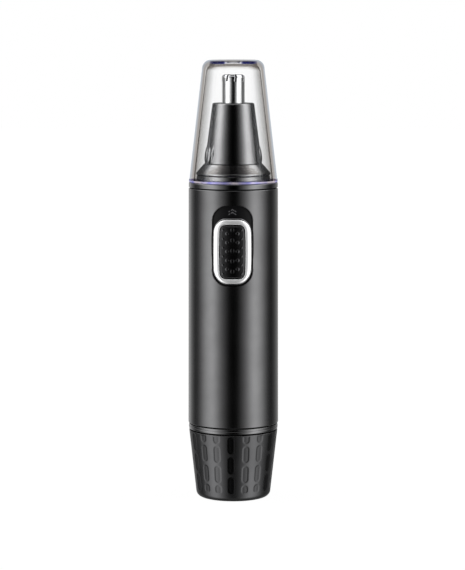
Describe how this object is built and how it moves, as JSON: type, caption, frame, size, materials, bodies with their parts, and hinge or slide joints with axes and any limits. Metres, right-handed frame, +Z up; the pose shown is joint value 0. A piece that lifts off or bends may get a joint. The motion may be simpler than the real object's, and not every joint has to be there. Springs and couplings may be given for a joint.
{
  "type": "nose hair trimmer",
  "caption": "Pen-shaped battery trimmer with a slotted round cutter tube under a clear cap, a sliding thumb switch and a tapered twist-off battery cap.",
  "frame": {"origin": "centre of the flat base of the battery cap, on the tool's long axis", "axes": "+Z up along the long axis to the cutter, -Y out of the face with the thumb switch, +X to the right seen from that face"},
  "size_m": [0.0288, 0.0298, 0.1401],
  "materials": {
    "satin_black": "satin moulded black plastic",
    "gloss_black": "polished black plastic",
    "grip_black": "fine-grained black plastic",
    "clear": "clear polystyrene, polished inside and out",
    "chrome": "bright plated plastic",
    "steel": "stainless steel",
    "nickel": "nickel-plated spring steel",
    "brass": "plain brass",
    "copper": "copper",
    "magnet": "sintered ferrite or steel laminations",
    "board": "solder-masked board",
    "rubber": "moulded rubber",
    "white_plastic": "natural moulded plastic",
    "grey_plastic": "moulded plastic",
    "cell_body": "plated can",
    "cell_wrap": "printed shrink sleeve"
  },
  "bodies": {
    "battery_cap": {"battery_cap": "grip_black", "cap_liner": "grey_plastic", "cap_seal_ring": "rubber", "cap_contact": "nickel", "cell_spring": "nickel"},
    "battery": {"cell_can": "cell_body", "cell_sleeve": "cell_wrap", "cell_washer": "white_plastic", "cell_nub": "nickel"},
    "handle": {"handle_shell": "satin_black", "base_ring": "gloss_black", "battery_tube": "grey_plastic", "negative_strip": "nickel", "positive_contact": "nickel", "motor_feed_strip": "nickel", "switch_board": "board", "switch_escutcheon": "gloss_black", "neck_collar": "gloss_black", "shaft_seal": "rubber", "neck_screw_right": "steel", "neck_screw_left": "steel", "motor_can": "steel", "motor_end_bell": "white_plastic", "motor_magnet_right": "magnet", "motor_magnet_left": "magnet", "motor_bush": "brass", "motor_brush_right": "copper", "motor_brush_left": "copper", "motor_terminal_positive": "nickel", "motor_terminal_negative": "nickel", "motor_cradle_right": "grey_plastic", "motor_cradle_left": "grey_plastic"},
    "switch": {"switch_slider": "gloss_black", "switch_bezel": "chrome", "switch_pad": "grip_black", "switch_carrier": "white_plastic", "switch_wiper": "brass"},
    "rotor": {"motor_shaft": "steel", "armature_core": "magnet", "armature_winding_1": "copper", "armature_winding_2": "copper", "armature_winding_3": "copper", "commutator": "copper", "drive_coupling": "white_plastic"},
    "head_carrier": {"head_seal": "rubber"},
    "cutter_head": {"nose_cone": "satin_black", "head_flange": "satin_black", "outer_foil": "steel", "foil_retainer": "white_plastic", "spindle_housing": "grey_plastic", "spindle_bushing": "brass"},
    "cutter_blade": {"blade_spindle": "steel", "spindle_clip": "steel", "blade_spring": "nickel", "inner_blade": "steel"},
    "clear_cap": {"clear_cap": "clear"}
  },
  "joints": [
    {"name": "battery_cap_twist", "type": "hinge", "parent": "battery_cap", "child": "battery", "pos_m": [0, 0, 0.022], "axis": [0, 0, 1], "range_deg": [0, 40]},
    {"name": "handle_pull", "type": "slide", "parent": "battery", "child": "handle", "axis": [0, 0, 1], "range_m": [0, 0.048]},
    {"name": "switch_slide", "type": "slide", "parent": "handle", "child": "switch", "axis": [0, 0, 1], "range_m": [0, 0.0035]},
    {"name": "motor_spin", "type": "hinge", "parent": "handle", "child": "rotor", "pos_m": [0, 0, 0.077], "axis": [0, 0, 1], "continuous": true},
    {"name": "head_lift", "type": "slide", "parent": "handle", "child": "head_carrier", "axis": [0, 0, 1], "range_m": [0, 0.02]},
    {"name": "head_twist", "type": "hinge", "parent": "head_carrier", "child": "cutter_head", "pos_m": [0, 0, 0.1035], "axis": [0, 0, 1], "range_deg": [0, 30]},
    {"name": "blade_spin", "type": "hinge", "parent": "head_carrier", "child": "cutter_blade", "pos_m": [0, 0, 0.1265], "axis": [0, 0, 1], "continuous": true},
    {"name": "clear_cap_pull", "type": "slide", "parent": "head_carrier", "child": "clear_cap", "axis": [0, 0, 1], "range_m": [0, 0.045]}
  ],
  "couplings": [
    {"joint": "blade_spin", "follows": "motor_spin", "ratio": 1}
  ]
}
